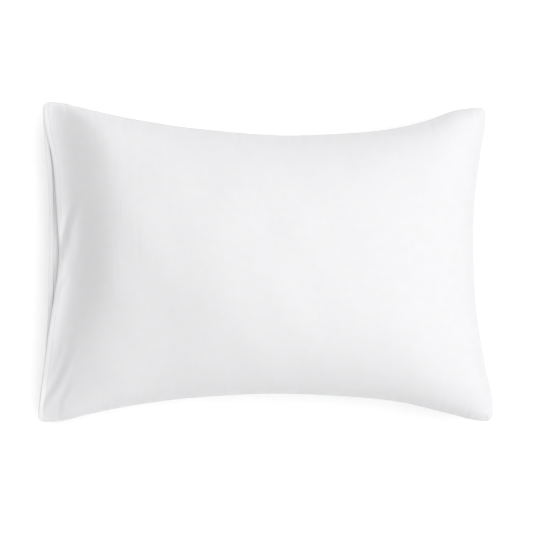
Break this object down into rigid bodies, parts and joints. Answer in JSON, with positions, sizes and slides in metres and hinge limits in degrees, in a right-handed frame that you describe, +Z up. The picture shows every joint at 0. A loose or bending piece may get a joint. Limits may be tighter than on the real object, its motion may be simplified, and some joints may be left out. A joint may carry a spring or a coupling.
{
  "type": "pillowcase on a pillow",
  "caption": "Plain white cotton pillowcase, open at one end, on the plump pillow that fills it: drawn-in sides, seamed edges, a hemmed mouth that gapes a little and soft creases beside it.",
  "frame": {"origin": "on the floor, in the middle of the outline seen from above", "axes": "+X along the long sides towards the closed end, +Y across towards the upper long seam, +Z up through the crown; the open mouth is at -X"},
  "size_m": [0.7033, 0.4956, 0.1892],
  "materials": {
    "front_cotton": "matt plain-woven white cotton",
    "back_cotton": "matt plain-woven white cotton",
    "ticking": "matt off-white pillow cover"
  },
  "bodies": {
    "root": {"front_panel": "front_cotton", "back_panel": "back_cotton", "pillow": "ticking"}
  },
  "joints": []
}
